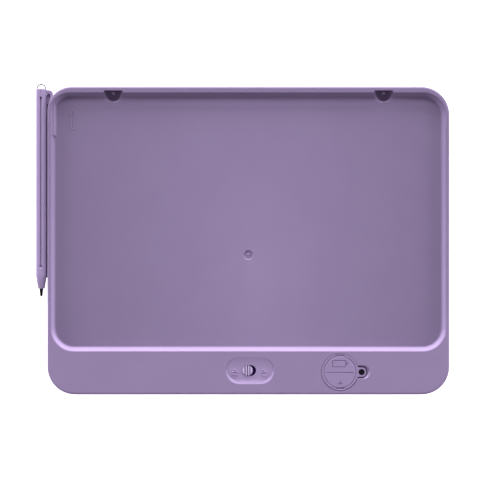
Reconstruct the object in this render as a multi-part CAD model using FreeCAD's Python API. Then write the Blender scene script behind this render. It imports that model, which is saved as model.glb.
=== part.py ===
import FreeCAD, Part
import math
import os
from FreeCAD import Vector

# Children's LCD drawing tablet with a clip-on stylus, lying face down.
# Millimetres. +Z points out of the back cover, +Y to the top edge, +X to the right as seen
# from behind. The origin is the middle of the case on the plane of the front bezel, z = 0.

# Case: a front frame and a rear cover, split at mid height.
CASE_W = 260.0
CASE_H = 199.0
CASE_T = 8.5
CORNER_R = 18.0
CLIP_CORNER_R = 15.5
SPLIT_Z = 3.5
SEAM_BEVEL = 0.2
SIDE_WALL = 1.7
BEZEL_WALL = 1.2
CHIN_WALL = 1.5
BACK_EDGE_R = 1.2
RIM_R = 0.9
FOOT_R = 1.0
FRONT_EDGE_R = 0.9
CASE = (-CASE_W / 2, CASE_W / 2, -CASE_H / 2, CASE_H / 2, (CORNER_R, CORNER_R, CORNER_R, CLIP_CORNER_R))

# Sunken back panel: its floor outline, its floor height and the panel under it.
PANEL = (-124.8, 124.8, -68.6, 92.7, (12.0, 12.0, 12.0, 9.0))
PANEL_Z = 5.5
PANEL_WALL = 1.5
GATE_XY = (0.0, -9.3)

# Screen window and the flat layers behind it.
WINDOW = (-121.0, 121.0, -62.0, 89.5, (3.0, 3.0, 3.0, 3.0))
SCREEN = (-124.0, 124.0, -66.0, 92.5, (1.5, 1.5, 1.5, 1.5))
FOAM = (-120.0, 120.0, -64.0, 88.0, (2.0, 2.0, 2.0, 2.0))
TAPE_Z = (1.2, 1.4)
FILM_Z = (1.4, 2.0)
SHEET_Z = (2.0, 2.6)
FOAM_Z = (2.6, 4.0)

# Screws that close the case, sunk in D-shaped pockets in the top rim.
CASE_SCREW_X = 87.5
CASE_SCREW_Y = 95.3
POCKET_R = 4.8
POCKET_MOUTH_R = 6.2
POCKET_FLAT_Y = 97.1
POCKET_Z = 3.4

# Lock switch: a sliding knob in a scooped recess. The floor falls gently from the upper edge
# and curves up again at the lower one; SCOOP holds the (y, z) points of that profile.
LOCK_X = 1.0
LOCK_Y = -84.0
SCOOP = [(-74.0, 8.55), (-89.3, 7.748), (-91.173, 7.89), (-92.95, 8.5)]
SCOOP_FALL = math.degrees(math.atan2(0.802, 15.3))
LOCK_SLOT_X = 0.4
LOCK_KNOB_X = -0.6
LOCK_KNOB_R = 3.35
KNOB_TOP_Z = 8.45
LOCK_TRAVEL = 2.0

# Battery lid, its screw and the coin cell under it.
LID_X = 59.2
LID_Y = -85.0
LID_R = 11.85
LID_Z = 7.3
TAB_X = 73.2
TAB_R = 3.05
TAB_Z = 6.3
CELL_R = 10.0
CELL_Z = (4.65, 7.15)
BAY_R = 10.4
BAY_FLOOR_Z = 4.35

# Circuit board and what stands on it.
BOARD = (-22.0, 38.0, -95.0, -77.0, (1.0, 1.0, 1.0, 1.0))
BOARD_Z = (3.4, 4.4)
BOARD_SCREWS = [(-18.5, -80.5), (-18.5, -91.5), (31.0, -80.5), (31.0, -91.5)]

# Erase button in the front chin.
BUTTON_W = 22.0
BUTTON_H = 12.0
BUTTON_FACE_Z = 0.3
BUTTON_TRAVEL = 0.4

# Stylus beside the left edge, and its clip in the corner pocket.
PEN_X = -134.05
PEN_Z = 4.25
PEN_W = 6.8
PEN_SECTION_R = 2.35
GROOVE_X = -134.3
PEN_TOP_Y = 98.2
PEN_CAP_Y = 94.3
PEN_TAPER_Y = -22.9
PEN_MOUTH_Y = -31.0
PEN_MOUTH_W = 4.15
NIB_TIP_Y = -36.1
ARM_X = (-128.3, -126.6)
ARM_Z = (2.6, 4.9)
ARM_END_Y = 66.0
CLIP_TOP_Y = 97.4
CLIP_UNDER_Y = 95.2
LOOP_R = 2.8
SOCKET_X = (-128.6, -126.3)
SOCKET_Z = (2.3, 5.2)
SOCKET_END_Y = 62.0


def inset(rect, d):
    """The same rounded rectangle, moved inwards by d (outwards when d is negative)."""
    x0, x1, y0, y1, radii = rect
    return (x0 + d, x1 - d, y0 + d, y1 - d, tuple(max(r - d, 0.2) for r in radii))


def outline(rect, z):
    """Closed wire of a rounded rectangle; radii run bottom left, bottom right, top right, top left."""
    x0, x1, y0, y1, radii = rect
    bl, br, tr, tl = radii
    corners = [
        (x0 + bl, y0 + bl, bl, 180),
        (x1 - br, y0 + br, br, 270),
        (x1 - tr, y1 - tr, tr, 0),
        (x0 + tl, y1 - tl, tl, 90),
    ]
    arcs = []
    for cx, cy, r, start in corners:
        points = []
        for turn in (0, 45, 90):
            a = math.radians(start + turn)
            points.append(Vector(cx + r * math.cos(a), cy + r * math.sin(a), z))
        arcs.append(points)
    edges = []
    for i in range(4):
        edges.append(Part.Arc(*arcs[i]).toShape())
        p = arcs[i][2]
        q = arcs[(i + 1) % 4][0]
        if p.distanceToPoint(q) > 1e-6:
            edges.append(Part.makeLine(p, q))
    return Part.Wire(edges)


def slab(rect, z0, z1):
    """Upright prism of a rounded rectangle."""
    return Part.Face(outline(rect, z0)).extrude(Vector(0, 0, z1 - z0))


def drafted(low, z0, high, z1):
    """Solid with flat sloping walls between two rounded rectangles."""
    return Part.makeLoft([outline(low, z0), outline(high, z1)], True, True)


def stadium(cx, cy, w, h):
    """A rounded rectangle whose short sides are half circles."""
    r = min(w, h) / 2
    return (cx - w / 2, cx + w / 2, cy - h / 2, cy + h / 2, (r, r, r, r))


def box(x0, x1, y0, y1, z0, z1):
    return Part.makeBox(x1 - x0, y1 - y0, z1 - z0, Vector(x0, y0, z0))


def disc(x, y, r, z0, z1):
    return Part.makeCylinder(r, z1 - z0, Vector(x, y, z0))


def cone(x, y, r0, r1, z0, z1):
    return Part.makeCone(r0, r1, z1 - z0, Vector(x, y, z0))


def prism(points, z0, z1):
    """Upright prism of a polygon given as (x, y) corners."""
    loop = [Vector(x, y, z0) for x, y in points]
    loop.append(loop[0])
    return Part.Face(Part.makePolygon(loop)).extrude(Vector(0, 0, z1 - z0))


def fused(body, others):
    """The body joined with each of the others, one after another."""
    for s in others:
        body = body.fuse(s)
    return body.removeSplitter()


def carved(body, cuts):
    """The body less each of the cutting shapes, one after another."""
    for c in cuts:
        body = body.cut(c)
    return body


def turned(shape, x, y, degrees):
    """A copy turned about the upright axis through (x, y)."""
    copy = shape.copy()
    copy.rotate(Vector(x, y, 0), Vector(0, 0, 1), degrees)
    return copy


def edges_at(shape, z, tol=1e-4):
    """Edges that lie wholly in the plane at height z."""
    found = []
    for e in shape.Edges:
        b = e.BoundBox
        if abs(b.ZMin - z) < tol and abs(b.ZMax - z) < tol:
            found.append(e)
    return found


def save(name, shape):
    """Write one solid to its own file, after checking that it is one sound solid."""
    solids = shape.Solids
    if len(solids) != 1 or not solids[0].isValid():
        print("CHECK", name, "solids", len(solids), "valid", shape.isValid())
    solids[0].exportStep("parts/" + name + ".step")
    b = solids[0].BoundBox
    print("%-26s vol %9.1f  x %.2f %.2f  y %.2f %.2f  z %.2f %.2f" % (
        name, solids[0].Volume, b.XMin, b.XMax, b.YMin, b.YMax, b.ZMin, b.ZMax))


def d_prism(x, r, flat_y, z0, z1):
    """Round pocket shape cut off by a flat on its top side."""
    return disc(x, CASE_SCREW_Y, r, z0, z1).common(box(x - 20, x + 20, 60, flat_y, z0, z1))


def grown(points, d):
    """A closed polygon, given anticlockwise, with every side moved outwards by d."""
    out = []
    n = len(points)
    for i in range(n):
        (ax, ay), (bx, by), (cx, cy) = points[i - 1], points[i], points[(i + 1) % n]
        la = math.hypot(bx - ax, by - ay)
        lb = math.hypot(cx - bx, cy - by)
        n0 = ((by - ay) / la, (ax - bx) / la)
        n1 = ((cy - by) / lb, (bx - cx) / lb)
        k = d / (1 + n0[0] * n1[0] + n0[1] * n1[1])
        out.append((bx + k * (n0[0] + n1[0]), by + k * (n0[1] + n1[1])))
    return out


def sloped(points, d0, z0, d1, z1):
    """Solid with flat sloping sides between two grown copies of a polygon."""
    wires = []
    for d, z in ((d0, z0), (d1, z1)):
        loop = [Vector(x, y, z) for x, y in grown(points, d)]
        wires.append(Part.makePolygon(loop + [loop[0]]))
    return Part.makeLoft(wires, True, True)


def line_round(points, z, height, half):
    """Raised line with sloping sides that follows a closed polygon; it stands on height z."""
    top = z + height
    low = z - 0.05
    spread = half + 0.05
    outer = sloped(points, spread, low, 0.08, top)
    return outer.cut(sloped(points, -spread, low - 0.001, -0.08, top + 0.001))


def corners(x0, x1, y0, y1):
    return [(x0, y0), (x1, y0), (x1, y1), (x0, y1)]


def padlock(cx, y_base, shift):
    """Raised padlock outline on the recess floor; shift moves the shackle, as on an open lock."""
    top = y_base + 2.5
    fall = math.tan(math.radians(SCOOP_FALL))
    z = SCOOP[0][1] - (SCOOP[0][0] - y_base) * fall
    body = line_round(corners(cx - 1.6, cx + 1.6, y_base + 0.2, top - 0.2), z, 0.24, 0.3)
    bow = []
    for r, turns in ((1.25, range(0, 7)), (0.8, range(6, -1, -1))):
        if r == 1.25:
            bow.append((cx + shift + r, top - 0.1))
        for t in turns:
            a = math.radians(30 * t)
            bow.append((cx + shift + r * math.cos(a), top + 0.3 + r * math.sin(a)))
        bow.append((cx + shift - r if r == 1.25 else cx + shift + r, top - 0.1))
        if r == 1.25:
            bow.append((cx + shift - 0.8, top - 0.1))
    pieces = [body, sloped(bow, 0.12, z - 0.05, -0.12, z + 0.22)]
    for p in pieces:
        p.rotate(Vector(cx, y_base, z), Vector(1, 0, 0), SCOOP_FALL)
    return pieces


def scoop():
    """What the lock recess takes away: the scooped profile, within a stadium with sloping ends."""
    a, b, c, d = [Vector(LOCK_X - 18, y, z) for y, z in SCOOP]
    up = Vector(LOCK_X - 18, SCOOP[3][0] - 0.4, CASE_T + 0.6)
    back = Vector(LOCK_X - 18, SCOOP[0][0], CASE_T + 0.6)
    edges = [Part.makeLine(a, b), Part.Arc(b, c, d).toShape(), Part.makeLine(d, up),
             Part.makeLine(up, back), Part.makeLine(back, a)]
    trough = Part.Face(Part.Wire(edges)).extrude(Vector(36.0, 0, 0))
    ends = drafted(stadium(LOCK_X, LOCK_Y, 26.0, 12.2), 7.2, stadium(LOCK_X, LOCK_Y, 32.1, 18.3), CASE_T + 0.15)
    return trough.common(ends)


def lofted_slot(x0, end0, r0, z0, end1, r1, z1):
    """Slot round the lid's tab: square at x0, half round at the far end, with sloping walls."""
    wires = []
    for end, r, z in ((end0, r0, z0), (end1, r1, z1)):
        a = Vector(x0, LID_Y - r, z)
        b = Vector(end, LID_Y - r, z)
        c = Vector(end + r, LID_Y, z)
        d = Vector(end, LID_Y + r, z)
        e = Vector(x0, LID_Y + r, z)
        wires.append(Part.Wire([Part.makeLine(a, b), Part.Arc(b, c, d).toShape(),
                                Part.makeLine(d, e), Part.makeLine(e, a)]))
    return Part.makeLoft(wires, True, True)


# Rear cover: a tray with a sunken panel, made hollow from the inside.
def make_rear_cover():
    outer = slab(CASE, SPLIT_Z, CASE_T)
    outer = outer.makeFillet(BACK_EDGE_R, edges_at(outer, CASE_T))
    outer = outer.makeChamfer(SEAM_BEVEL, edges_at(outer, SPLIT_Z))
    recess = drafted(PANEL, PANEL_Z, inset(PANEL, -3.2), PANEL_Z + 3.2)
    body = outer.cut(recess)
    rim = []
    for e in edges_at(body, CASE_T):
        if all(abs(v.X) < 128.0 and -72.0 < v.Y < 96.0 for v in e.Vertexes):
            rim.append(e)
    body = body.makeFillet(RIM_R, rim)
    body = body.makeFillet(FOOT_R, edges_at(body, PANEL_Z))

    cavity = slab(inset(CASE, SIDE_WALL), SPLIT_Z, CASE_T - CHIN_WALL)
    low = inset(PANEL, -0.62)
    under_z = PANEL_Z - PANEL_WALL
    cavity = cavity.cut(drafted(low, under_z, inset(low, -3.4), under_z + 3.4))
    body = body.cut(cavity)

    # Solid places inside: screw bosses, stylus socket, lock pad, battery bay and board bosses.
    added = []
    for side in (-1, 1):
        x = side * CASE_SCREW_X
        added.append(d_prism(x, POCKET_MOUTH_R + 1.0, POCKET_FLAT_Y + 1.0, 4.0, 7.2))
        added.append(d_prism(x, POCKET_R + 1.2, POCKET_FLAT_Y + 0.5, POCKET_Z - 0.7, 4.2))
    added.append(box(-129.0, -125.3, SOCKET_END_Y - 1.5, 97.0, SPLIT_Z, 6.4))
    ledge_low = (-128.0, -124.0, 66.0, 91.4, (1.9, 1.9, 1.9, 1.9))
    ledge_high = (-128.0, -125.8, 68.2, 89.6, (0.8, 0.8, 0.8, 0.8))
    ledge = drafted(ledge_low, PANEL_Z - 0.1, ledge_high, PANEL_Z + 2.2)
    added.append(slab(stadium(LOCK_X, LOCK_Y, 33.0, 19.6), 6.1, 7.2))
    added.append(disc(LID_X, LID_Y, 13.2, 6.1, 7.2))
    added.append(disc(LID_X, LID_Y, BAY_R + 1.2, 3.55, 7.2))
    added.append(slab((68.0, 80.6, -91.0, -79.0, (1.0, 4.0, 4.0, 1.0)), 4.7, 7.2))
    added.append(disc(TAB_X, LID_Y, 3.0, 2.5, 6.0))
    for x, y in BOARD_SCREWS:
        added.append(disc(x, y, 2.0, BOARD_Z[1], 7.2))
    inside = slab(inset(CASE, 0.8), 2.0, CASE_T - 1.2).cut(recess)
    added = [a.common(inside) for a in added]
    body = fused(body, added + [ledge])

    # Screw pockets with a bevelled lower lip, and the screw holes under them.
    cuts = []
    for side in (-1, 1):
        x = side * CASE_SCREW_X
        cuts.append(d_prism(x, POCKET_R, POCKET_FLAT_Y, POCKET_Z, PANEL_Z))
        flare = cone(x, CASE_SCREW_Y, POCKET_R, POCKET_MOUTH_R, PANEL_Z - 1.4, PANEL_Z)
        cuts.append(flare.common(box(x - 9, x + 9, 80, POCKET_FLAT_Y, 4, 6)))
        cuts.append(d_prism(x, POCKET_MOUTH_R, POCKET_FLAT_Y, PANEL_Z, CASE_T + 1))
        cuts.append(disc(x, CASE_SCREW_Y, 0.9, 2.0, POCKET_Z + 0.5))
    # Stylus socket, open at the corner.
    cuts.append(box(SOCKET_X[0], SOCKET_X[1], SOCKET_END_Y, 100.0, SOCKET_Z[0], SOCKET_Z[1]))
    # Lock recess and its slot.
    cuts.append(scoop())
    cuts.append(slab(stadium(LOCK_SLOT_X, LOCK_Y, 9.1, 7.1), 6.0, 8.6))
    # Battery bay, lid seat and the slot round the lid's tab.
    cuts.append(disc(LID_X, LID_Y, LID_R + 0.3, LID_Z - 0.1, CASE_T + 1))
    cuts.append(disc(LID_X, LID_Y, BAY_R, BAY_FLOOR_Z, CASE_T))
    cuts.append(lofted_slot(70.5, TAB_X, 3.85, TAB_Z, TAB_X, 3.85, CASE_T + 0.2))
    cuts.append(lofted_slot(70.5, TAB_X, 3.8, 7.6, TAB_X + 1.8, 4.45, CASE_T + 0.15))
    moat = lofted_slot(71.6, TAB_X, 3.85, TAB_Z - 0.6, TAB_X, 3.85, TAB_Z + 0.1)
    cuts.append(moat.cut(lofted_slot(71.0, TAB_X, TAB_R + 0.05, TAB_Z - 0.7, TAB_X, TAB_R + 0.05, TAB_Z + 0.2)))
    cuts.append(disc(TAB_X, LID_Y, 1.6, 3.1, TAB_Z + 0.5))
    for angle in (165, 195):
        window = box(LID_X + 10.0, LID_X + 14.0, LID_Y - 1.6, LID_Y + 1.6, BAY_FLOOR_Z, 4.75)
        cuts.append(turned(window, LID_X, LID_Y, angle))
    for x, y in BOARD_SCREWS:
        cuts.append(disc(x, y, 0.85, BOARD_Z[1] - 0.5, 6.6))
    cuts.append(cone(GATE_XY[0], GATE_XY[1], 2.65, 3.2, PANEL_Z - 0.5, PANEL_Z + 0.05))
    body = carved(body, cuts)

    # Low relief: the arrow that shows which way the stylus pulls out, and the lock pictures.
    arrow = []
    for dx, dy in ((-1.0, -11.9), (1.0, -11.9), (1.0, -2.0), (2.1, -2.0), (0, 0), (-2.1, -2.0), (-1.0, -2.0)):
        arrow.append((-113.9 + dx, 84.3 + dy))
    marks = [line_round(arrow, PANEL_Z, 0.28, 0.42)]
    marks.append(cone(GATE_XY[0], GATE_XY[1], 0.6, 0.35, PANEL_Z - 0.55, PANEL_Z - 0.1))
    marks += padlock(-8.8, -87.2, 0.0) + padlock(10.1, -87.3, -0.9)
    return fused(body, marks)


# Front frame: the bezel round the window, with side walls, bosses and locating ribs.
def make_front_frame():
    outer = slab(CASE, 0.0, SPLIT_Z)
    outer = outer.makeFillet(FRONT_EDGE_R, edges_at(outer, 0.0))
    outer = outer.makeChamfer(SEAM_BEVEL, edges_at(outer, SPLIT_Z))
    body = outer.cut(slab(inset(CASE, SIDE_WALL), BEZEL_WALL, SPLIT_Z + 1))
    added = []
    for side in (-1, 1):
        added.append(disc(side * CASE_SCREW_X, CASE_SCREW_Y, 2.4, BEZEL_WALL - 0.2, POCKET_Z - 0.7))
    block = box(-129.0, -125.3, SOCKET_END_Y - 1.5, 97.0, BEZEL_WALL - 0.2, SPLIT_Z)
    added.append(block.common(slab(inset(CASE, 0.8), 0.5, SPLIT_Z)))
    added.append(box(-112.0, 12.0, -67.8, -66.6, BEZEL_WALL - 0.2, 2.5))
    added.append(box(25.0, 112.0, -67.8, -66.6, BEZEL_WALL - 0.2, 2.5))
    for x in (-60.0, 60.0):
        added.append(box(x - 18.0, x + 18.0, 93.0, 94.0, BEZEL_WALL - 0.2, 2.5))
    # Tongues that stand up inside the rear cover's wall.
    for x in (-95.0, 0.0, 110.0 - 15.0):
        added.append(box(x - 12.0, x + 12.0, -98.2, -96.4, 2.6, SPLIT_Z).cut(
            box(x - 13, x + 13, -97.0, -96.0, 2.0, 3.0)))
        added.append(box(x - 12.0, x + 12.0, -97.6, -96.4, 3.3, 5.2))
    body = fused(body, added)
    cuts = [
        slab(WINDOW, -1, SPLIT_Z),
        slab(stadium(0.0, LOCK_Y, BUTTON_W + 0.6, BUTTON_H + 0.6), -1, SPLIT_Z),
        box(SOCKET_X[0], SOCKET_X[1], SOCKET_END_Y, 100.0, SOCKET_Z[0], SPLIT_Z + 1),
    ]
    for side in (-1, 1):
        cuts.append(disc(side * CASE_SCREW_X, CASE_SCREW_Y, 0.8, 1.3, 4.0))
    body = carved(body, cuts)
    window_edges = [e for e in edges_at(body, 0.0) if abs(e.CenterOfMass.x) < 122 and -63 < e.CenterOfMass.y < 90]
    return body.makeChamfer(0.6, window_edges)


# Flat layers behind the window.
def make_tape():
    return slab(SCREEN, *TAPE_Z).cut(slab(inset(WINDOW, -0.7), 0, 3))


# Flexible tail from the screen's lower edge to the front of the board.
def make_flex_tail():
    side = [(-66.0, 1.6), (-69.5, 1.6), (-75.5, 3.2), (-80.0, 3.2), (-80.0, 3.4), (-75.4, 3.4), (-69.4, 1.8), (-66.0, 1.8)]
    loop = [Vector(14.5, y, z) for y, z in side]
    loop.append(loop[0])
    return Part.Face(Part.makePolygon(loop)).extrude(Vector(8.0, 0, 0))


def make_board():
    body = slab(BOARD, *BOARD_Z)
    for x, y in BOARD_SCREWS:
        body = body.cut(disc(x, y, 1.0, 3, 5))
    return body


def cross_recess(x, y, z_top, depth, length, width):
    """Cross-shaped driver recess, cut down from the top of a screw head."""
    bars = box(x - length / 2, x + length / 2, y - width / 2, y + width / 2, z_top - depth, z_top + 1)
    return bars.fuse(turned(bars, x, y, 90))


# Small screws: the head's recess faces the driver.
def make_board_screw(x, y):
    head = disc(x, y, 1.7, 2.4, BOARD_Z[0])
    head = head.makeFillet(0.4, edges_at(head, 2.4))
    body = head.fuse(disc(x, y, 0.8, BOARD_Z[0] - 0.1, 6.4)).removeSplitter()
    recess = cross_recess(x, y, 0.0, 0.0, 2.0, 0.5)
    recess.translate(Vector(0, 0, 2.0))
    return body.cut(recess.common(box(x - 2, x + 2, y - 2, y + 2, 2.0, 2.9)))


def make_case_screw(x, y):
    head = disc(x, y, 1.45, POCKET_Z, POCKET_Z + 1.1)
    head = head.makeFillet(0.35, edges_at(head, POCKET_Z + 1.1))
    body = head.fuse(disc(x, y, 0.75, 1.4, POCKET_Z + 0.1)).removeSplitter()
    return body.cut(cone(x, y, 0.35, 0.62, POCKET_Z + 0.3, POCKET_Z + 1.2))


# Front button: an oval cap with a wider flange that stays behind the bezel.
def make_erase_button():
    cap = slab(stadium(0.0, LOCK_Y, BUTTON_W, BUTTON_H), BUTTON_FACE_Z, 1.6)
    cap = cap.makeFillet(0.4, edges_at(cap, BUTTON_FACE_Z))
    flange = slab(stadium(0.0, LOCK_Y, BUTTON_W + 4, BUTTON_H + 4), 1.45, 2.05)
    body = cap.fuse(flange).removeSplitter()
    # Waste-bin picture, sunk into the cap.
    z0 = BUTTON_FACE_Z - 0.5
    z1 = BUTTON_FACE_Z + 0.18
    bin_outer = prism([(-1.7, -81.6), (1.7, -81.6), (2.1, -85.8), (-2.1, -85.8)], z0, z1)
    bin_inner = prism([(-1.2, -82.05), (1.2, -82.05), (1.55, -85.35), (-1.55, -85.35)], z0, z1)
    marks = [bin_outer.cut(bin_inner)]
    marks.append(box(-2.6, 2.6, -87.0, -86.5, z0, z1))
    marks.append(box(-0.9, 0.9, -87.7, -87.2, z0, z1))
    for x in (-0.55, 0.55):
        marks.append(box(x - 0.16, x + 0.16, -84.7, -82.7, z0, z1))
    return carved(body, marks)


def make_erase_switch_body():
    body = box(-3.0, 3.0, LOCK_Y - 3.0, LOCK_Y + 3.0, 2.6, BOARD_Z[0])
    body = body.makeFillet(0.3, [e for e in body.Edges if abs(e.BoundBox.ZLength - 0.8) < 1e-6])
    return body.cut(disc(0.0, LOCK_Y, 1.12, 2.0, 3.2))


# Lock knob: a round thumb piece with four ribs, which stands on a wide plate under the recess.
def make_lock_slider():
    x = LOCK_KNOB_X
    knob = disc(x, LOCK_Y, LOCK_KNOB_R, 6.0, KNOB_TOP_Z)
    knob = knob.makeFillet(0.3, edges_at(knob, KNOB_TOP_Z))
    for i in (-1, 0, 1):
        slot = corners(x + 1.6 * i - 0.16, x + 1.6 * i + 0.16, LOCK_Y - 5, LOCK_Y + 5)
        knob = knob.cut(sloped(slot, 0.0, KNOB_TOP_Z - 0.55, 0.35, KNOB_TOP_Z + 0.05))
    return knob.cut(box(x - 0.8, x + 0.8, LOCK_Y - 0.8, LOCK_Y + 0.8, 5.0, 6.9))


def make_lock_plate():
    x = LOCK_KNOB_X
    plate = slab((x - 5.5, x + 5.5, LOCK_Y - 4.7, LOCK_Y + 4.7, (1.0, 1.0, 1.0, 1.0)), 5.5, 6.0)
    return plate.cut(box(x - 0.8, x + 0.8, LOCK_Y - 0.8, LOCK_Y + 0.8, 5.0, 6.9))


def make_slide_switch_body():
    body = box(LOCK_SLOT_X - 4.6, LOCK_SLOT_X + 4.6, LOCK_Y - 2.0, LOCK_Y + 2.0, BOARD_Z[1], 5.35)
    return body.cut(box(-1.6, 2.4, LOCK_Y - 0.9, LOCK_Y + 0.9, 4.7, 6.0))


# Battery lid: a coin-sized disc with a screw tab and engraved marks.
def make_battery_cover():
    body = disc(LID_X, LID_Y, LID_R, LID_Z, CASE_T)
    body = body.makeFillet(0.3, edges_at(body, CASE_T))
    tab = box(LID_X + 5, TAB_X, LID_Y - TAB_R, LID_Y + TAB_R, LID_Z, CASE_T)
    end = disc(TAB_X, LID_Y, TAB_R, LID_Z, CASE_T)
    thick = box(70.9, TAB_X, LID_Y - TAB_R, LID_Y + TAB_R, TAB_Z, CASE_T)
    thick = thick.fuse(disc(TAB_X, LID_Y, TAB_R, TAB_Z, CASE_T).common(box(70.9, 80, -90, -80, 6, 9)))
    body = fused(body, [tab, end, thick])
    # V-shaped grooves: the ring, two pry notches, a line, a plus sign and a plain battery picture.
    low = CASE_T - 0.42
    ring = cone(LID_X, LID_Y, 10.38, 10.75, low, CASE_T + 0.05)
    cuts = [ring.cut(cone(LID_X, LID_Y, 10.27, 9.9, low, CASE_T + 0.05))]
    for side in (-1, 1):
        y = LID_Y + side * 10.75
        notch = corners(LID_X - 2.4, LID_X + 2.4, y - 0.1, y + 0.1)
        cuts.append(sloped(notch, 0.05, CASE_T - 0.5, 0.5, CASE_T + 0.05))
    bar = corners(LID_X - 9.0, LID_X + 8.6, LID_Y - 0.34, LID_Y - 0.26)
    knob = corners(LID_X + 4.5, LID_X + 4.7, -80.5, -78.9)
    for mark in (bar, knob):
        cuts.append(sloped(mark, 0.02, low, 0.3, CASE_T + 0.05))
    cuts.append(box(LID_X + 0.05, LID_X + 0.55, -93.8, -90.6, CASE_T - 0.5, CASE_T + 1))
    cuts.append(box(LID_X - 1.2, LID_X + 1.8, -92.45, -91.95, CASE_T - 0.5, CASE_T + 1))
    cell = corners(LID_X - 4.8, LID_X + 3.8, -81.7, -77.7)
    picture = sloped(cell, 0.08, low, 0.32, CASE_T + 0.05)
    cuts.append(picture.cut(sloped(cell, -0.08, low - 0.001, -0.32, CASE_T + 0.051)))
    cuts.append(disc(TAB_X, LID_Y, 2.035, 7.1, 9))
    cuts.append(disc(TAB_X, LID_Y, 1.15, 6, 8))
    return carved(body, cuts)


def make_cover_screw():
    head = disc(TAB_X, LID_Y, 1.93, 7.1, 8.2)
    head = head.makeFillet(0.3, edges_at(head, 8.2))
    body = head.fuse(disc(TAB_X, LID_Y, 0.95, 3.4, 7.2)).removeSplitter()
    return body.cut(cross_recess(TAB_X, LID_Y, 8.2, 0.7, 2.6, 0.6))


def make_insert():
    body = disc(TAB_X, LID_Y, 1.6, 3.15, 6.1).cut(disc(TAB_X, LID_Y, 1.0, 3, 7))
    groove = disc(TAB_X, LID_Y, 2.0, 4.4, 4.8).cut(disc(TAB_X, LID_Y, 1.4, 4, 5))
    return body.cut(groove)


# Coin cell: the wide can above, the narrower cap below.
def make_coin_cell():
    body = disc(LID_X, LID_Y, 8.7, CELL_Z[0], CELL_Z[0] + 0.4)
    can = disc(LID_X, LID_Y, CELL_R, CELL_Z[0] + 0.3, CELL_Z[1])
    can = can.makeFillet(0.4, edges_at(can, CELL_Z[1]) + edges_at(can, CELL_Z[0] + 0.3))
    return body.fuse(can).removeSplitter()


def make_contact(angle, inner_r, upstand):
    """Sprung strip from the board into the battery bay, along a radius of the cell."""
    strip = box(LID_X + inner_r, LID_X + 25.2, LID_Y - 1.2, LID_Y + 1.2, 4.4, 4.6)
    if upstand:
        strip = strip.fuse(box(LID_X + 10.05, LID_X + 10.25, LID_Y - 1.2, LID_Y + 1.2, 4.4, 6.6))
    else:
        strip = strip.fuse(disc(LID_X + inner_r, LID_Y, 1.8, 4.4, 4.6))
    return turned(strip.removeSplitter(), LID_X, LID_Y, angle)


# Stylus pieces: sections lie across the pen, so each wire is turned to face along Y.
def pen_section(w, r, y, h=None):
    """Rounded section of the stylus at y, w wide and h high; square when h is left out."""
    h = h or w
    rect = (-w / 2, w / 2, -h / 2, h / 2, (r, r, r, r))
    wire = outline(rect, 0.0)
    wire.rotate(Vector(0, 0, 0), Vector(1, 0, 0), 90)
    wire.translate(Vector(PEN_X, y, PEN_Z))
    return wire


def pen_disc(x, z, r, y0, y1):
    return Part.makeCylinder(r, y1 - y0, Vector(x, y0, z), Vector(0, 1, 0))


def make_barrel():
    tube = Part.makeLoft([pen_section(PEN_W, PEN_SECTION_R, PEN_TAPER_Y),
                          pen_section(PEN_W, PEN_SECTION_R, PEN_CAP_Y)], True, True)
    nose = Part.makeLoft([pen_section(PEN_MOUTH_W, 1.7, PEN_MOUTH_Y, 5.4),
                          pen_section(5.65, 2.1, (PEN_TAPER_Y + PEN_MOUTH_Y) / 2 + 0.3, 6.25),
                          pen_section(PEN_W, PEN_SECTION_R, PEN_TAPER_Y)], True, True)
    body = tube.fuse(nose).removeSplitter()
    groove = box(GROOVE_X - 0.36, GROOVE_X + 0.36, -16.1, 92.2, 6.0, 9.0)
    hole = slab((GROOVE_X - 0.7, GROOVE_X + 0.7, 91.3, 93.3, (0.69, 0.69, 0.69, 0.69)), 5.2, 9.0)
    mark = cone(GROOVE_X, -16.9, 0.35, 1.2, 6.85, 7.7)
    bore = pen_disc(PEN_X, PEN_Z, 1.3, -26.5, PEN_CAP_Y + 1)
    mouth = pen_disc(PEN_X, PEN_Z, 1.0, PEN_MOUTH_Y - 1, -26.0)
    return carved(body, [groove, hole, mark, bore, mouth])


def make_nib():
    tip = Part.makeCone(0.8, 1.25, PEN_MOUTH_Y - NIB_TIP_Y - 0.6, Vector(PEN_X, NIB_TIP_Y + 0.6, PEN_Z),
                        Vector(0, 1, 0))
    tip = tip.fuse(Part.makeSphere(0.83, Vector(PEN_X, NIB_TIP_Y + 0.83, PEN_Z)))
    stem = pen_disc(PEN_X, PEN_Z, 0.98, PEN_MOUTH_Y - 0.1, -26.6)
    return fused(tip, [stem])


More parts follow.
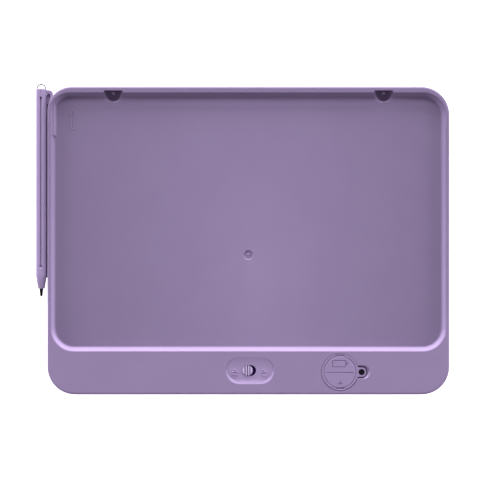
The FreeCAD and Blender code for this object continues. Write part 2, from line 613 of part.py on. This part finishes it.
# Clip cap: closes the barrel's top and carries the arm that hooks into the case.
def make_clip_cap():
    cap = Part.makeLoft([pen_section(PEN_W, PEN_SECTION_R, PEN_CAP_Y),
                         pen_section(PEN_W, PEN_SECTION_R, PEN_TOP_Y)], True, True)
    top = [e for e in cap.Edges if abs(e.BoundBox.YMin - PEN_TOP_Y) < 1e-4]
    cap = cap.makeFillet(0.5, top)
    plug = pen_disc(PEN_X, PEN_Z, 1.27, PEN_CAP_Y - 5, PEN_CAP_Y + 0.5)
    # Bridge with a rounded outer corner and an arched underside, then the long arm.
    z0, z1 = ARM_Z
    x0, x1 = ARM_X
    bridge = slab((-132.0, x1, 92.0, CLIP_TOP_Y, (0.2, 0.2, 2.4, 0.2)), z0, z1)
    under = slab((-130.0 - 0.6, x0, 60.0, CLIP_UNDER_Y, (0.2, 0.2, 1.1, 0.2)), z0 - 1, z1 + 1)
    arm = box(x0, x1, ARM_END_Y + 0.8, 93.0, z0, z1)
    foot = disc((x0 + x1) / 2, ARM_END_Y + 0.85, 0.85, z0, z1)
    bridge = bridge.cut(under).cut(box(-133.0, -130.0, 90.0, PEN_CAP_Y, z0 - 1, z1 + 1))
    # Low web in the crook of the bridge; its edge follows the case's corner at a small gap.
    web = box(-130.35, x0 + 0.1, 88.3, CLIP_UNDER_Y + 0.2, z0, z0 + 0.8)
    web = web.cut(disc(CASE[0] + CLIP_CORNER_R, CASE[3] - CLIP_CORNER_R, CLIP_CORNER_R + 0.4, 0, 6))
    body = fused(cap, [plug, bridge, arm, foot, web])
    notch = box(GROOVE_X - 0.3, GROOVE_X + 0.3, 96.4, 99.0, 7.0, 9.0)
    cuts = [notch]
    for side in (-1, 1):
        cuts.append(pen_disc(PEN_X + side * LOOP_R, PEN_Z, 0.48, 96.4, 99.0))
    return carved(body, cuts)


# Thin cord loop standing out of the cap's top.
def make_lanyard_loop():
    arch = Part.makeTorus(LOOP_R, 0.46, Vector(PEN_X, PEN_TOP_Y + 0.1, PEN_Z), Vector(0, 0, 1), -180, 180, 180)
    body = arch
    for side in (-1, 1):
        leg = pen_disc(PEN_X + side * LOOP_R, PEN_Z, 0.46, 96.5, PEN_TOP_Y + 0.1)
        body = body.fuse(leg)
    return body.removeSplitter()


os.makedirs("parts", exist_ok=True)
save("rear_cover", make_rear_cover())
save("front_frame", make_front_frame())
save("adhesive_frame", make_tape())
save("lcd_film", slab(SCREEN, *FILM_Z))
save("backing_sheet", slab(SCREEN, *SHEET_Z))
save("foam_pad", slab(FOAM, *FOAM_Z))
save("lcd_flex_tail", make_flex_tail())
save("circuit_board", make_board())
save("driver_chip", box(17.5, 22.5, -86.2, -81.8, BOARD_Z[1], 5.4))
save("boost_inductor", slab((24.3, 28.3, -92.0, -88.0, (1.0, 1.0, 1.0, 1.0)), BOARD_Z[1], 6.2))
save("capacitor_a", box(18.4, 20.4, -90.6, -89.4, BOARD_Z[1], 5.3))
save("capacitor_b", box(24.4, 26.4, -80.4, -79.2, BOARD_Z[1], 5.3))
for number, (sx, sy) in enumerate(BOARD_SCREWS, start=1):
    save("board_screw_" + str(number), make_board_screw(sx, sy))
save("erase_button", make_erase_button())
save("erase_switch_body", make_erase_switch_body())
save("erase_switch_stem", disc(0.0, LOCK_Y, 1.0, 2.05, 2.75))
save("lock_slider", make_lock_slider())
save("lock_plate", make_lock_plate())
save("slide_switch_body", make_slide_switch_body())
save("slide_switch_lever", box(LOCK_KNOB_X - 0.75, LOCK_KNOB_X + 0.75, LOCK_Y - 0.75, LOCK_Y + 0.75, 4.75, 6.8))
save("battery_cover", make_battery_cover())
save("battery_cover_screw", make_cover_screw())
save("screw_insert", make_insert())
save("coin_cell", make_coin_cell())
save("battery_contact_positive", make_contact(165, 10.05, True))
save("battery_contact_negative", make_contact(195, 3.0, False))
save("case_screw_left", make_case_screw(-CASE_SCREW_X, CASE_SCREW_Y))
save("case_screw_right", make_case_screw(CASE_SCREW_X, CASE_SCREW_Y))
save("stylus_barrel", make_barrel())
save("stylus_nib", make_nib())
save("stylus_clip_cap", make_clip_cap())
save("lanyard_loop", make_lanyard_loop())
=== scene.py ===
import bmesh
import bpy
import math
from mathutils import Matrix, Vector


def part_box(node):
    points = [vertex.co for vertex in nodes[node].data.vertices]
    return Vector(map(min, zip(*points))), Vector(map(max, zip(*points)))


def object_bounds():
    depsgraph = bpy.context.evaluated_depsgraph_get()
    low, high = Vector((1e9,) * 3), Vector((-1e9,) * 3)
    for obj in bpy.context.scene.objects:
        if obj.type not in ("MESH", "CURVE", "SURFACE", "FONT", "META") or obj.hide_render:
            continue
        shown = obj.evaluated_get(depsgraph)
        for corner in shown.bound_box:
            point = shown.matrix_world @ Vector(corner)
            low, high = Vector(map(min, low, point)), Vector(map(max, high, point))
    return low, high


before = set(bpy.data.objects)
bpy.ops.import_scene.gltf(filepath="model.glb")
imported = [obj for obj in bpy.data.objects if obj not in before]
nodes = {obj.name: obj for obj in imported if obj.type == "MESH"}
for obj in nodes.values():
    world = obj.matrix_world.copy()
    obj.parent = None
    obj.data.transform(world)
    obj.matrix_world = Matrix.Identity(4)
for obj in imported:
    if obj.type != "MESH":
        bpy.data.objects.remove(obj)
cad_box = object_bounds()

# Camera. It looks straight down on the back of the tablet, with the top edge upwards.
# It stands far off, so that the flat case shows almost no perspective.
aim = Vector((-0.00543, 0.00039, cad_box[1].z))
seen_width = 0.3103
lens = bpy.data.cameras.new("overhead_lens")
lens.lens = 300.0
lens.sensor_width = 36.0
lens.clip_start = 0.01
lens.clip_end = 20.0
camera = bpy.data.objects.new("overhead_camera", lens)
camera.location = aim + Vector((0.0, 0.0, seen_width * lens.lens / lens.sensor_width))
bpy.context.scene.collection.objects.link(camera)
bpy.context.scene.camera = camera
bpy.context.scene.view_settings.view_transform = "Standard"

# Moulded case: rear cover, front frame, battery lid and lock knob, all injection-moulded ABS.
# The moulds are spark-eroded, which leaves a fine matte grain, a little smoother where
# hands rub it. The pieces are held by two screws, by tongues and by the lid's own screw.


def linear(hexa):
    """An sRGB hex colour as linear light."""
    out = []
    for i in (0, 2, 4):
        c = int(hexa[i:i + 2], 16) / 255
        out.append(c / 12.92 if c <= 0.04045 else ((c + 0.055) / 1.055) ** 2.4)
    return (*out, 1.0)


def add(mat, kind, settings, links):
    """One shader node, with its settings and what feeds its sockets."""
    n = mat.node_tree.nodes.new(kind)
    for key, value in settings.items():
        if isinstance(key, str) and key[0].islower():
            setattr(n, key, value)
        else:
            n.inputs[key].default_value = value
    for key, source in links.items():
        mat.node_tree.links.new(source, n.inputs[key])
    return n


def finish_of(mat, settings, links):
    """The material's surface: one Principled shader wired to the output."""
    shader = add(mat, "ShaderNodeBsdfPrincipled", settings, links)
    add(mat, "ShaderNodeOutputMaterial", {}, {"Surface": shader.outputs["BSDF"]})
    return mat


def blank(name):
    """An empty node material."""
    mat = bpy.data.materials.new(name)
    mat.use_nodes = True
    mat.node_tree.nodes.clear()
    return mat


def pattern(size_mm):
    """Texture scale at which a pattern's features come out about size_mm across."""
    return 1000 / size_mm


def wear(names, mat):
    """Gives a material to every slot of the named CAD nodes."""
    for n in names:
        data = nodes[n].data
        data.materials.clear()
        data.materials.append(mat)
        data.polygons.foreach_set("material_index", [0] * len(data.polygons))


def ranged(mat, socket, low, high, at_low, at_high):
    """A value that runs from at_low to at_high as a coordinate goes from low to high."""
    return add(mat, "ShaderNodeMapRange",
               {"From Min": low, "From Max": high, "To Min": at_low, "To Max": at_high},
               {"Value": socket}).outputs["Result"]


def paint_light_and_shade(mat, place, colour):
    """Paints light and shade into a cover's colour by where a point lies on it, and returns the new colour.

    The sunken panel gets a painted pool of light a little below its gate and painted shade towards its edges.
    Its sloping walls get painted light towards the lower edge, and the rim, chin included, gets painted shade
    towards the top edge.
    """
    lit_spot_x, lit_spot_y, squeeze_y = 0.005, -0.024, 0.6
    painted_falloff_end = 0.14
    spread = add(mat, "ShaderNodeMapping",
                 {"vector_type": "POINT", 1: (-lit_spot_x, -lit_spot_y * squeeze_y, 0.0), 3: (1.0, squeeze_y, 0.0)},
                 {0: place})
    away = add(mat, "ShaderNodeVectorMath", {"operation": "LENGTH"}, {0: spread.outputs[0]})
    reach = add(mat, "ShaderNodeMapRange", {"From Max": painted_falloff_end}, {"Value": away.outputs["Value"]})
    painted_falloff = add(mat, "ShaderNodeValToRGB", {}, {"Fac": reach.outputs["Result"]})
    stops = painted_falloff.color_ramp.elements
    # Painted pool of light a little below the gate, painted shade towards the panel's edges.
    levels = ((0.0, 1.07), (0.3, 0.95), (0.5, 0.9), (0.65, 0.86), (0.85, 0.81), (1.0, 0.78))
    for at, level in levels:
        stop = stops[0] if at == 0.0 else stops[-1] if at == 1.0 else stops.new(at)
        stop.color = (level, level, level, 1.0)

    axes = add(mat, "ShaderNodeSeparateXYZ", {}, {0: place}).outputs
    floor_z, wall_z, rim_foot_z, rim_z = 0.0056, 0.0068, 0.008, 0.0084
    sunk = ranged(mat, axes["Z"], floor_z, wall_z, 1.0, 0.0)
    # Painted light on the sloping walls, strongest towards the lower edge.
    painted_wall_light = ranged(mat, axes["Y"], -0.075, 0.09, 1.42, 0.98)
    painted_sunk_tone = add(mat, "ShaderNodeMix", {"data_type": "RGBA"}, {0: sunk, 6: painted_wall_light, 7: painted_falloff.outputs["Color"]})
    raised = ranged(mat, axes["Z"], rim_foot_z, rim_z, 0.0, 1.0)
    # Painted shade on the rim, deepest towards the top edge, and painted light on the chin.
    painted_rim_shade = ranged(mat, axes["Y"], -0.08, 0.09, 1.06, 0.86)
    painted_tone = add(mat, "ShaderNodeMix", {"data_type": "RGBA"}, {0: raised, 6: painted_sunk_tone.outputs[2], 7: painted_rim_shade})
    return multiplied(mat, colour, painted_tone.outputs[2])


def multiplied(mat, colour, by):
    """One colour multiplied by another colour or value."""
    return add(mat, "ShaderNodeMix", {"data_type": "RGBA", "blend_type": "MULTIPLY", 0: 1.0},
               {6: colour, 7: by}).outputs[2]


def matte_body(name, body, pale, grain_mm, relief_mm, rough_low, rough_high, painted_light_shade=False):
    """A matte body: a faint cloudy tint, a fine grain, patches rubbed a little smoother, and, if
    painted_light_shade is set, painted light and shade.
    """
    mat = blank(name)
    place = add(mat, "ShaderNodeTexCoord", {}, {}).outputs["Object"]
    # Flow of the melt: clouds about 25 mm across, only just visible.
    cloud = add(mat, "ShaderNodeTexNoise", {"Scale": pattern(25), "Detail": 3.0, "Roughness": 0.5},
                {"Vector": place})
    # Grain of the eroded mould. The real pits are about 0.1 mm, too fine to show, so they are drawn larger.
    grain = add(mat, "ShaderNodeTexNoise", {"Scale": pattern(grain_mm), "Detail": 2.0, "Roughness": 0.6},
                {"Vector": place})
    fleck = add(mat, "ShaderNodeMapRange",
                {"From Min": 0.3, "From Max": 0.7, "To Min": -0.16, "To Max": 0.16},
                {"Value": grain.outputs["Fac"]})
    share = add(mat, "ShaderNodeMath", {"operation": "ADD", "use_clamp": True},
                {0: cloud.outputs["Fac"], 1: fleck.outputs["Result"]})
    colour = add(mat, "ShaderNodeMix", {"data_type": "RGBA", 6: linear(body), 7: linear(pale)},
                 {0: share.outputs["Value"]}).outputs[2]
    # Painted light and shade, laid over the colour by where a point lies.
    if painted_light_shade:
        colour = paint_light_and_shade(mat, place, colour)
    # Handling: patches some 40 mm across that are rubbed smoother.
    rub = add(mat, "ShaderNodeTexNoise", {"Scale": pattern(40), "Detail": 4.0, "Roughness": 0.55},
              {"Vector": place})
    rough = add(mat, "ShaderNodeMapRange",
                {"From Min": 0.35, "From Max": 0.65, "To Min": rough_low, "To Max": rough_high},
                {"Value": rub.outputs["Fac"]})
    bump = add(mat, "ShaderNodeBump", {"Strength": 0.6, "Distance": relief_mm / 1000},
               {"Height": grain.outputs["Fac"]})
    # The specular level is far below plain plastic's, or the flat panel turns white in low views.
    return finish_of(mat, {"IOR": 1.53, "Specular IOR Level": 0.06},
                     {"Base Color": colour, "Roughness": rough.outputs["Result"],
                      "Normal": bump.outputs["Normal"]})


# The rear cover and front frame carry painted light and shade on the panel, its walls and the rim.
case_abs = matte_body("moulded_abs_lavender", "867698", "8B7C9D", 0.6, 0.02, 0.52, 0.6, True)
wear(["rear_cover", "front_frame"], case_abs)
lid_abs = matte_body("moulded_abs_battery_lid", "8E7EA2", "9484A7", 0.6, 0.015, 0.5, 0.58)
wear(["battery_cover"], lid_abs)
# The plate's near-black violet tint is painted shade, so the slot round the knob reads dark.
plate_pom = matte_body("acetal_plate_dark_violet", "2A1250", "34195E", 0.45, 0.005, 0.5, 0.6)
wear(["lock_plate"], plate_pom)
knob_abs = matte_body("moulded_abs_lock_knob", "B3A2C8", "BBAACF", 0.45, 0.01, 0.34, 0.42)
# Painted shade in the hollows between the knob's ridges: the tint deepens below the ridge tops.
knob_shader = next(n for n in knob_abs.node_tree.nodes if n.type == "BSDF_PRINCIPLED")
knob_tint = knob_shader.inputs["Base Color"].links[0].from_socket
knob_place = add(knob_abs, "ShaderNodeTexCoord", {}, {}).outputs["Object"]
knob_axes = add(knob_abs, "ShaderNodeSeparateXYZ", {}, {0: knob_place}).outputs
knob_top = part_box("lock_slider")[1].z
painted_groove_shade = ranged(knob_abs, knob_axes["Z"], knob_top - 0.0004, knob_top - 0.0001, 0.35, 1.0)
knob_abs.node_tree.links.new(multiplied(knob_abs, knob_tint, painted_groove_shade), knob_shader.inputs["Base Color"])
wear(["lock_slider"], knob_abs)

# Case screws: two small zinc-plated steel screws at the foot of the pockets in the top rim.
# They bite into bosses of the front frame, and their heads take a small driver.


def turned_metal(name, tint, rough, metal_grain_mm):
    """Plated or turned metal: fine tool lines that break up the gloss."""
    mat = blank(name)
    place = add(mat, "ShaderNodeTexCoord", {}, {}).outputs["Object"]
    lines = add(mat, "ShaderNodeTexNoise", {"Scale": pattern(metal_grain_mm), "Detail": 3.0}, {"Vector": place})
    level = add(mat, "ShaderNodeMapRange",
                {"From Min": 0.3, "From Max": 0.7, "To Min": rough - 0.07, "To Max": rough + 0.09},
                {"Value": lines.outputs["Fac"]})
    bump = add(mat, "ShaderNodeBump", {"Strength": 0.3, "Distance": 0.00001},
               {"Height": lines.outputs["Fac"]})
    return finish_of(mat, {"Base Color": linear(tint), "Metallic": 1.0},
                     {"Roughness": level.outputs["Result"], "Normal": bump.outputs["Normal"]})


# The tint is darker and more violet than plated steel: painted shade of the pockets.
pocket_shaded_screw_steel = turned_metal("zinc_plated_steel_painted_pocket_shade", "6E6577", 0.42, 0.15)
wear(["case_screw_left", "case_screw_right"], pocket_shaded_screw_steel)

# Stylus: a slim barrel and a clip cap, moulded ABS with a finer, slightly glossier surface
# than the case. The cap plugs into the barrel, and its arm hooks into the case's corner.
pen_abs = matte_body("moulded_abs_stylus", "9484A8", "9C8BAF", 0.45, 0.01, 0.44, 0.54)
wear(["stylus_barrel", "stylus_clip_cap"], pen_abs)

# Nib: a short black acetal point, smooth, pressed into the barrel's mouth.
nib_pom = blank("acetal_black")
nib_place = add(nib_pom, "ShaderNodeTexCoord", {}, {}).outputs["Object"]
nib_rub = add(nib_pom, "ShaderNodeTexNoise", {"Scale": pattern(0.8), "Detail": 2.0}, {"Vector": nib_place})
nib_rough = add(nib_pom, "ShaderNodeMapRange",
                {"From Min": 0.3, "From Max": 0.7, "To Min": 0.4, "To Max": 0.55},
                {"Value": nib_rub.outputs["Fac"]})
finish_of(nib_pom, {"Base Color": linear("050506"), "IOR": 1.48, "Specular IOR Level": 0.3},
          {"Roughness": nib_rough.outputs["Result"]})
wear(["stylus_nib"], nib_pom)

# Lanyard loop: a short arch of grey braided nylon cord, its ends glued into the cap.
# The braid's strands are about 0.25 mm wide and run at an angle.
loop_nylon = blank("braided_nylon_grey")
loop_place = add(loop_nylon, "ShaderNodeTexCoord", {}, {}).outputs["Object"]
strands = add(loop_nylon, "ShaderNodeTexWave",
              {"wave_type": "BANDS", "bands_direction": "DIAGONAL", "Scale": pattern(1.6), "Distortion": 1.0},
              {"Vector": loop_place})
loop_tint = add(loop_nylon, "ShaderNodeMix", {"data_type": "RGBA", 6: linear("5A575D"), 7: linear("747177")},
                {0: strands.outputs["Fac"]})
loop_bump = add(loop_nylon, "ShaderNodeBump", {"Strength": 0.5, "Distance": 0.00005},
                {"Height": strands.outputs["Fac"]})
finish_of(loop_nylon, {"Roughness": 0.8, "Sheen Weight": 0.3},
          {"Base Color": loop_tint.outputs[2], "Normal": loop_bump.outputs["Normal"]})
wear(["lanyard_loop"], loop_nylon)

# Lid screw: a small cross-head screw of blackened steel, sunk in the battery lid's tab.
# It turns in a brass insert that is pressed into the rear cover.
# The near-black tint is blackened steel, darkened further with painted shade of the sunk hole.
lid_screw_steel = turned_metal("blackened_steel_screw_painted_hole_shade", "2B2630", 0.45, 0.12)
wear(["battery_cover_screw"], lid_screw_steel)
insert_brass = turned_metal("turned_brass", "C9A557", 0.3, 0.1)
wear(["screw_insert"], insert_brass)

# Coin cell and its contacts: a nickel-plated steel can, brushed in rings, and sprung strips.
cell_steel = blank("nickel_plated_can")
cell_place = add(cell_steel, "ShaderNodeTexCoord", {}, {}).outputs["Object"]
cell_low, cell_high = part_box("coin_cell")
cell_middle = (cell_low + cell_high) / 2
cell_centred = add(cell_steel, "ShaderNodeMapping", {"vector_type": "POINT", 1: -cell_middle}, {0: cell_place})
cell_rings = add(cell_steel, "ShaderNodeTexWave",
                 {"wave_type": "RINGS", "rings_direction": "Z", "Scale": pattern(2.2),
                  "Distortion": 0.4, "Detail": 2.0},
                 {"Vector": cell_centred.outputs[0]})
cell_rough = add(cell_steel, "ShaderNodeMapRange", {"To Min": 0.22, "To Max": 0.34},
                 {"Value": cell_rings.outputs["Fac"]})
cell_bump = add(cell_steel, "ShaderNodeBump", {"Strength": 0.25, "Distance": 0.00001},
                {"Height": cell_rings.outputs["Fac"]})
finish_of(cell_steel, {"Base Color": linear("C9C7C2"), "Metallic": 1.0},
          {"Roughness": cell_rough.outputs["Result"], "Normal": cell_bump.outputs["Normal"]})
wear(["coin_cell"], cell_steel)
contact_strip = turned_metal("nickel_plated_spring_strip", "D2CBB6", 0.3, 0.2)
wear(["battery_contact_positive", "battery_contact_negative"], contact_strip)

# Screen: a pressure-sensitive film under a hard coat, dark and faintly green, glossy.
# It has a soft cloudiness and a fine haze. Black tape holds it behind the bezel.
film = blank("hard_coated_lcd_film")
film_place = add(film, "ShaderNodeTexCoord", {}, {}).outputs["Object"]
film_cloud = add(film, "ShaderNodeTexNoise", {"Scale": pattern(50), "Detail": 5.0, "Roughness": 0.6},
                 {"Vector": film_place})
film_tint = add(film, "ShaderNodeMix", {"data_type": "RGBA", 6: linear("14181A"), 7: linear("20282A")},
                {0: film_cloud.outputs["Fac"]})
film_haze = add(film, "ShaderNodeTexNoise", {"Scale": pattern(0.9), "Detail": 2.0}, {"Vector": film_place})
film_rough = add(film, "ShaderNodeMapRange",
                 {"From Min": 0.3, "From Max": 0.7, "To Min": 0.16, "To Max": 0.24},
                 {"Value": film_haze.outputs["Fac"]})
finish_of(film, {"IOR": 1.5, "Coat Weight": 0.4, "Coat Roughness": 0.08},
          {"Base Color": film_tint.outputs[2], "Roughness": film_rough.outputs["Result"]})
wear(["lcd_film"], film)
tape = matte_body("acrylic_tape_black", "101011", "18181A", 0.5, 0.01, 0.5, 0.65)
wear(["adhesive_frame"], tape)

# Layers behind the screen: a stiff styrene sheet, and a pad of open-cell foam that
# presses it forward. Foam cells are about 0.4 mm across.
sheet = matte_body("styrene_sheet", "C2C2C0", "CBCBC9", 0.5, 0.005, 0.4, 0.5)
wear(["backing_sheet"], sheet)
foam = blank("open_cell_foam")
foam_place = add(foam, "ShaderNodeTexCoord", {}, {}).outputs["Object"]
cells = add(foam, "ShaderNodeTexVoronoi", {"Scale": pattern(0.4)}, {"Vector": foam_place})
foam_tint = add(foam, "ShaderNodeMix", {"data_type": "RGBA", 6: linear("2E2E31"), 7: linear("5A5A5E")},
                {0: cells.outputs["Distance"]})
foam_bump = add(foam, "ShaderNodeBump", {"Strength": 0.8, "Distance": 0.0002},
                {"Height": cells.outputs["Distance"]})
finish_of(foam, {"Roughness": 0.95},
          {"Base Color": foam_tint.outputs[2], "Normal": foam_bump.outputs["Normal"]})
wear(["foam_pad"], foam)

# Circuit board: fibreglass under green solder mask, with an amber polyimide tail to the screen.
# Black moulded parts and tan ceramic capacitors are soldered to it.
board_mask = blank("solder_mask_green")
board_place = add(board_mask, "ShaderNodeTexCoord", {}, {}).outputs["Object"]
tracks = add(board_mask, "ShaderNodeTexBrick",
             {"Scale": pattern(6), "Mortar Size": 0.04, "Color1": linear("0C3A1C"),
              "Color2": linear("0E4220"), "Mortar": linear("1E6A35")},
             {"Vector": board_place})
weave = add(board_mask, "ShaderNodeTexNoise", {"Scale": pattern(0.6)}, {"Vector": board_place})
board_rough = add(board_mask, "ShaderNodeMapRange", {"To Min": 0.25, "To Max": 0.45},
                  {"Value": weave.outputs["Fac"]})
finish_of(board_mask, {"IOR": 1.5},
          {"Base Color": tracks.outputs["Color"], "Roughness": board_rough.outputs["Result"]})
wear(["circuit_board"], board_mask)
polyimide = matte_body("polyimide_film_amber", "8A4F12", "99601D", 0.6, 0.004, 0.25, 0.35)
wear(["lcd_flex_tail"], polyimide)
epoxy = matte_body("moulded_epoxy_black", "151516", "1E1E20", 0.3, 0.01, 0.45, 0.6)
wear(["driver_chip", "boost_inductor", "erase_switch_body", "erase_switch_stem", "slide_switch_body",
      "slide_switch_lever"], epoxy)
ceramic = matte_body("fired_ceramic_tan", "8C6B46", "9A7851", 0.3, 0.006, 0.5, 0.65)
wear(["capacitor_a", "capacitor_b"], ceramic)
board_screw_steel = turned_metal("zinc_plated_steel", "B9BABD", 0.32, 0.12)
wear(["board_screw_1", "board_screw_2", "board_screw_3", "board_screw_4"], board_screw_steel)

# Erase key: a firm silicone cap, a shade deeper than the case, with a sunken waste-bin picture.
# Its flange stays behind the bezel, and it rests on the switch below.
key_silicone = matte_body("moulded_silicone_violet", "6E5C84", "776590", 0.4, 0.01, 0.55, 0.65)
wear(["erase_button"], key_silicone)

# Table: a light table of opal acrylic. It glows a little from below, so shadows on it stay faint.
# A black card under the tablet is painted shade: it keeps that glow out of the gap beside the stylus, and its
# edge peeps past the case as a thin painted shadow.
opal = blank("opal_acrylic_light_table")
opal_place = add(opal, "ShaderNodeTexCoord", {}, {}).outputs["Object"]
opal_cloud = add(opal, "ShaderNodeTexNoise", {"Scale": 3.0, "Detail": 2.0}, {"Vector": opal_place})
opal_tint = add(opal, "ShaderNodeMix", {"data_type": "RGBA", 6: linear("F2F2F2"), 7: linear("F6F6F6")},
                {0: opal_cloud.outputs["Fac"]})
finish_of(opal, {"Roughness": 0.9, "Specular IOR Level": 0.1, "Emission Color": linear("FFFFFF"),
                 "Emission Strength": 1.0}, {"Base Color": opal_tint.outputs[2]})
shade_card_black = blank("black_card_painted_gap_shade")
card_place = add(shade_card_black, "ShaderNodeTexCoord", {}, {}).outputs["Object"]
card_fibre = add(shade_card_black, "ShaderNodeTexNoise", {"Scale": pattern(0.6), "Detail": 3.0},
                 {"Vector": card_place})
card_tint = add(shade_card_black, "ShaderNodeMix", {"data_type": "RGBA", 6: linear("0C0B0D"), 7: linear("161417")},
                {0: card_fibre.outputs["Fac"]})
finish_of(shade_card_black, {"Roughness": 0.95, "Specular IOR Level": 0.1}, {"Base Color": card_tint.outputs[2]})


def flat_sheet(name, x0, x1, y0, y1, z, mat):
    """A rectangular sheet that belongs to the table, not to the tablet."""
    data = bpy.data.meshes.new(name)
    bm = bmesh.new()
    bmesh.ops.create_grid(bm, x_segments=1, y_segments=1, size=0.5)
    bmesh.ops.scale(bm, vec=(x1 - x0, y1 - y0, 1.0), verts=bm.verts)
    bmesh.ops.translate(bm, vec=((x0 + x1) / 2, (y0 + y1) / 2, z), verts=bm.verts)
    bm.to_mesh(data)
    bm.free()
    data.materials.append(mat)
    thing = bpy.data.objects.new(name, data)
    bpy.context.scene.collection.objects.link(thing)


case_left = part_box("rear_cover")[0].x
table_half, table_z = 6.0, -0.00006
flat_sheet("table", -table_half, table_half, -table_half, table_half, table_z, opal)
# The card's strip beyond the case's left edge is a painted shadow line.
painted_shadow_peep, card_tuck, card_z = 0.001, 0.02, -0.00002
flat_sheet("painted_shade_card_under_tablet", case_left - painted_shadow_peep, case_left + card_tuck, -0.024, 0.0945, card_z,
           shade_card_black)

# Light: soft lamps beyond the top edge and at both sides, and none below the lower edge, so the
# sunken panel's lower wall shines and its upper wall stays in shade. The low lamps are left out of
# reflections, or they would turn the flat panel white in low views; the overhead lamp stays in.


def softbox(name, azimuth, elevation, distance, width, height, watts, tint=(1.0, 1.0, 1.0), steep=45):
    """A lamp panel that faces the tablet; azimuth 0 is beyond its top edge, 90 to its right.

    Only a lamp steeper than steep, in degrees, shows in reflections.
    """
    a, e = math.radians(azimuth), math.radians(elevation)
    away = Vector((math.sin(a) * math.cos(e), math.cos(a) * math.cos(e), math.sin(e)))
    lamp = bpy.data.lights.new(name, "AREA")
    lamp.shape = "RECTANGLE"
    lamp.size = width
    lamp.size_y = height
    lamp.energy = watts
    thing = bpy.data.objects.new(name, lamp)
    thing.location = away * distance
    thing.rotation_euler = (-away).to_track_quat("-Z", "Y").to_euler()
    thing.visible_camera = False
    thing.visible_glossy = elevation > steep
    lamp.color = tint
    bpy.context.scene.collection.objects.link(thing)


softbox("softbox_top_edge", 0, 30, 4.0, 3.0, 1.2, 158.0)
softbox("softbox_top_edge_low", 0, 10, 4.0, 2.4, 0.8, 240.0)
softbox("softbox_left", -90, 12, 4.0, 2.4, 0.9, 126.0)
softbox("softbox_right", 90, 12, 4.0, 2.4, 0.9, 126.0)
softbox("softbox_overhead", 0, 88, 3.0, 1.6, 1.6, 15.0, (1.0, 0.86, 1.0))
# Surroundings: bright and white round the horizon, dim and violet above it.
sky = bpy.data.worlds.new("pale_studio")
sky.use_nodes = True
horizon, above = 0.02, 0.14
sky_place = add(sky, "ShaderNodeTexCoord", {}, {}).outputs["Generated"]
sky_z = add(sky, "ShaderNodeSeparateXYZ", {}, {0: sky_place}).outputs["Z"]
sky_dusk = ranged(sky, sky_z, horizon, above, 0.0, 1.0)
sky_tint = add(sky, "ShaderNodeMix", {"data_type": "RGBA", 6: linear("FFFFFF"), 7: linear("B48CFF")},
               {0: sky_dusk})
backdrop = sky.node_tree.nodes["Background"].inputs
sky.node_tree.links.new(ranged(sky, sky_z, horizon, above, 0.9, 0.03), backdrop["Strength"])
sky.node_tree.links.new(sky_tint.outputs[2], backdrop["Color"])
bpy.context.scene.world = sky
